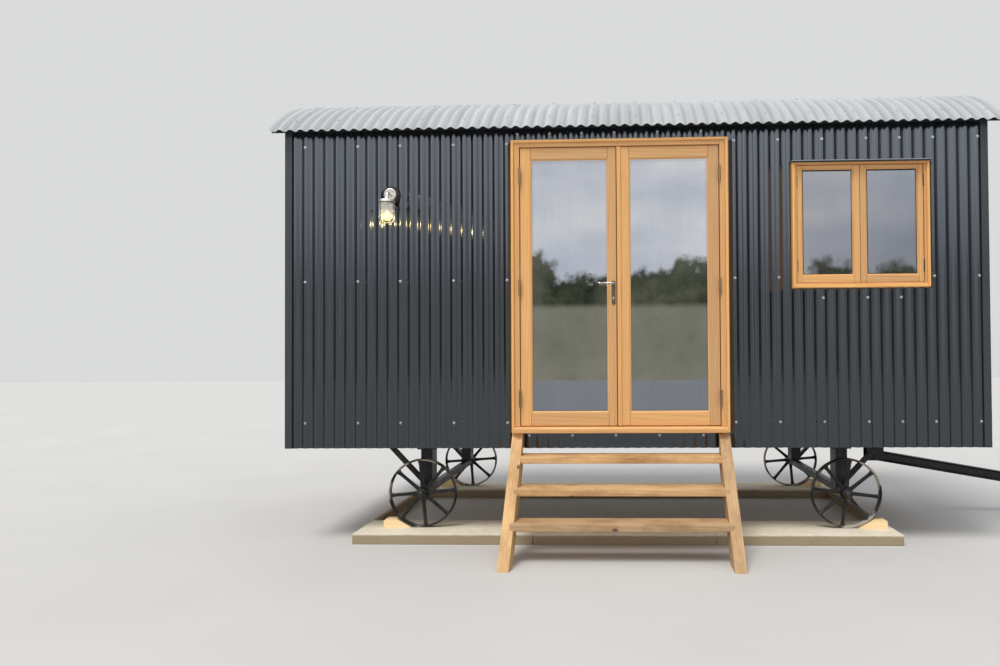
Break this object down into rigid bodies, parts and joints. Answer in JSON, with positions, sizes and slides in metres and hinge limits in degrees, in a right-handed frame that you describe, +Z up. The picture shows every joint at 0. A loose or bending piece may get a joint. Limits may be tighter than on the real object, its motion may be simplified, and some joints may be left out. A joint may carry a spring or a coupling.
{
  "type": "shepherds hut",
  "caption": "Corrugated-clad shepherds hut with a bowed roof, glazed double doors, oak steps, cast wheels on slab strips and a drawbar.",
  "frame": {"origin": "middle of the whole footprint on the ground, steps, roof and drawbar included", "axes": "+X along the hut towards the drawbar, -Y the side with the doors, +Z up"},
  "size_m": [7.2926, 2.9762, 3.3888],
  "materials": {
    "slab": "rough cast paving slab",
    "chock_wood": "sawn softwood",
    "black_iron": "black gloss on cast and rolled iron",
    "framing": "sawn framing and boards",
    "anthracite": "coated corrugated sheet, satin",
    "trim_grey": "folded coated sheet, satin",
    "roof_sheet": "pale coated corrugated sheet",
    "oak": "oiled oak",
    "step_oak": "sawn oak, unfinished",
    "steel": "satin",
    "glass": "clear double glazing",
    "warm_light": "lit lamp bulb"
  },
  "bodies": {
    "hut": {"plinth_long_strips": "slab", "plinth_end_boards": "chock_wood", "wheel_chocks": "chock_wood", "chassis_rails": "black_iron", "chassis_cross_members": "black_iron", "left_axle_beam": "black_iron", "right_axle_beam": "black_iron", "axle_struts": "black_iron", "drawbar_bracket": "black_iron", "floor": "framing", "front_wall_left": "framing", "front_wall_right": "framing", "front_wall_at_door": "framing", "rear_wall": "framing", "left_end_wall": "framing", "right_end_wall": "framing", "wall_plates": "framing", "front_cladding_left": "anthracite", "front_cladding_right": "anthracite", "front_cladding_at_door": "anthracite", "rear_cladding": "anthracite", "end_claddings": "anthracite", "corner_trims": "trim_grey", "roof_boards": "framing", "roof_sheet": "roof_sheet", "door_jambs": "oak", "door_head": "oak", "door_threshold": "oak", "door_hinge_knuckles": "steel", "window_frame": "oak", "window_casements": "oak", "window_panes": "glass", "window_drip": "trim_grey", "lamp_block": "black_iron", "lamp_body": "steel", "lamp_bulb": "warm_light", "lamp_glass": "glass", "lamp_cage": "steel", "step_stringers": "step_oak", "step_treads": "step_oak"},
    "left_door": {"left_door_leaf": "oak", "left_door_glass": "glass", "left_door_flaps": "steel", "door_handle_plates": "steel"},
    "right_door": {"right_door_leaf": "oak", "right_door_glass": "glass", "right_door_flaps": "steel"},
    "lever_handle": {"door_handle": "steel"},
    "front_left_wheel": {"front_left_wheel": "black_iron"},
    "front_right_wheel": {"front_right_wheel": "black_iron"},
    "rear_left_wheel": {"rear_left_wheel": "black_iron"},
    "rear_right_wheel": {"rear_right_wheel": "black_iron"},
    "drawbar": {"drawbar": "black_iron"}
  },
  "joints": [
    {"name": "left_door_hinge", "type": "hinge", "parent": "hut", "child": "left_door", "pos_m": [-1.87576, -0.82305, 1.79852], "axis": [0, 0, -1], "range_deg": [0, 110]},
    {"name": "right_door_hinge", "type": "hinge", "parent": "hut", "child": "right_door", "pos_m": [-0.47676, -0.82305, 1.79852], "axis": [0, 0, 1], "range_deg": [0, 110]},
    {"name": "lever_turn", "type": "hinge", "parent": "left_door", "child": "lever_handle", "pos_m": [-1.21826, -0.78106, 1.824], "axis": [0, -1, 0], "range_deg": [0, 45], "stiffness_Nm_per_rad": 1.5, "springref_deg": -22.92},
    {"name": "front_left_wheel_turn", "type": "hinge", "parent": "hut", "child": "front_left_wheel", "pos_m": [-2.62826, -0.57805, 0.3233], "axis": [0, 1, 0], "continuous": true},
    {"name": "front_right_wheel_turn", "type": "hinge", "parent": "hut", "child": "front_right_wheel", "pos_m": [0.44174, -0.57805, 0.3233], "axis": [0, 1, 0], "continuous": true},
    {"name": "rear_left_wheel_turn", "type": "hinge", "parent": "hut", "child": "rear_left_wheel", "pos_m": [-2.62826, 1.19195, 0.3233], "axis": [0, 1, 0], "continuous": true},
    {"name": "rear_right_wheel_turn", "type": "hinge", "parent": "hut", "child": "rear_right_wheel", "pos_m": [0.44174, 1.19195, 0.3233], "axis": [0, 1, 0], "continuous": true},
    {"name": "drawbar_lift", "type": "hinge", "parent": "hut", "child": "drawbar", "pos_m": [0.93474, 0.30695, 0.483], "axis": [0, -1, 0], "range_deg": [0, 25]}
  ]
}
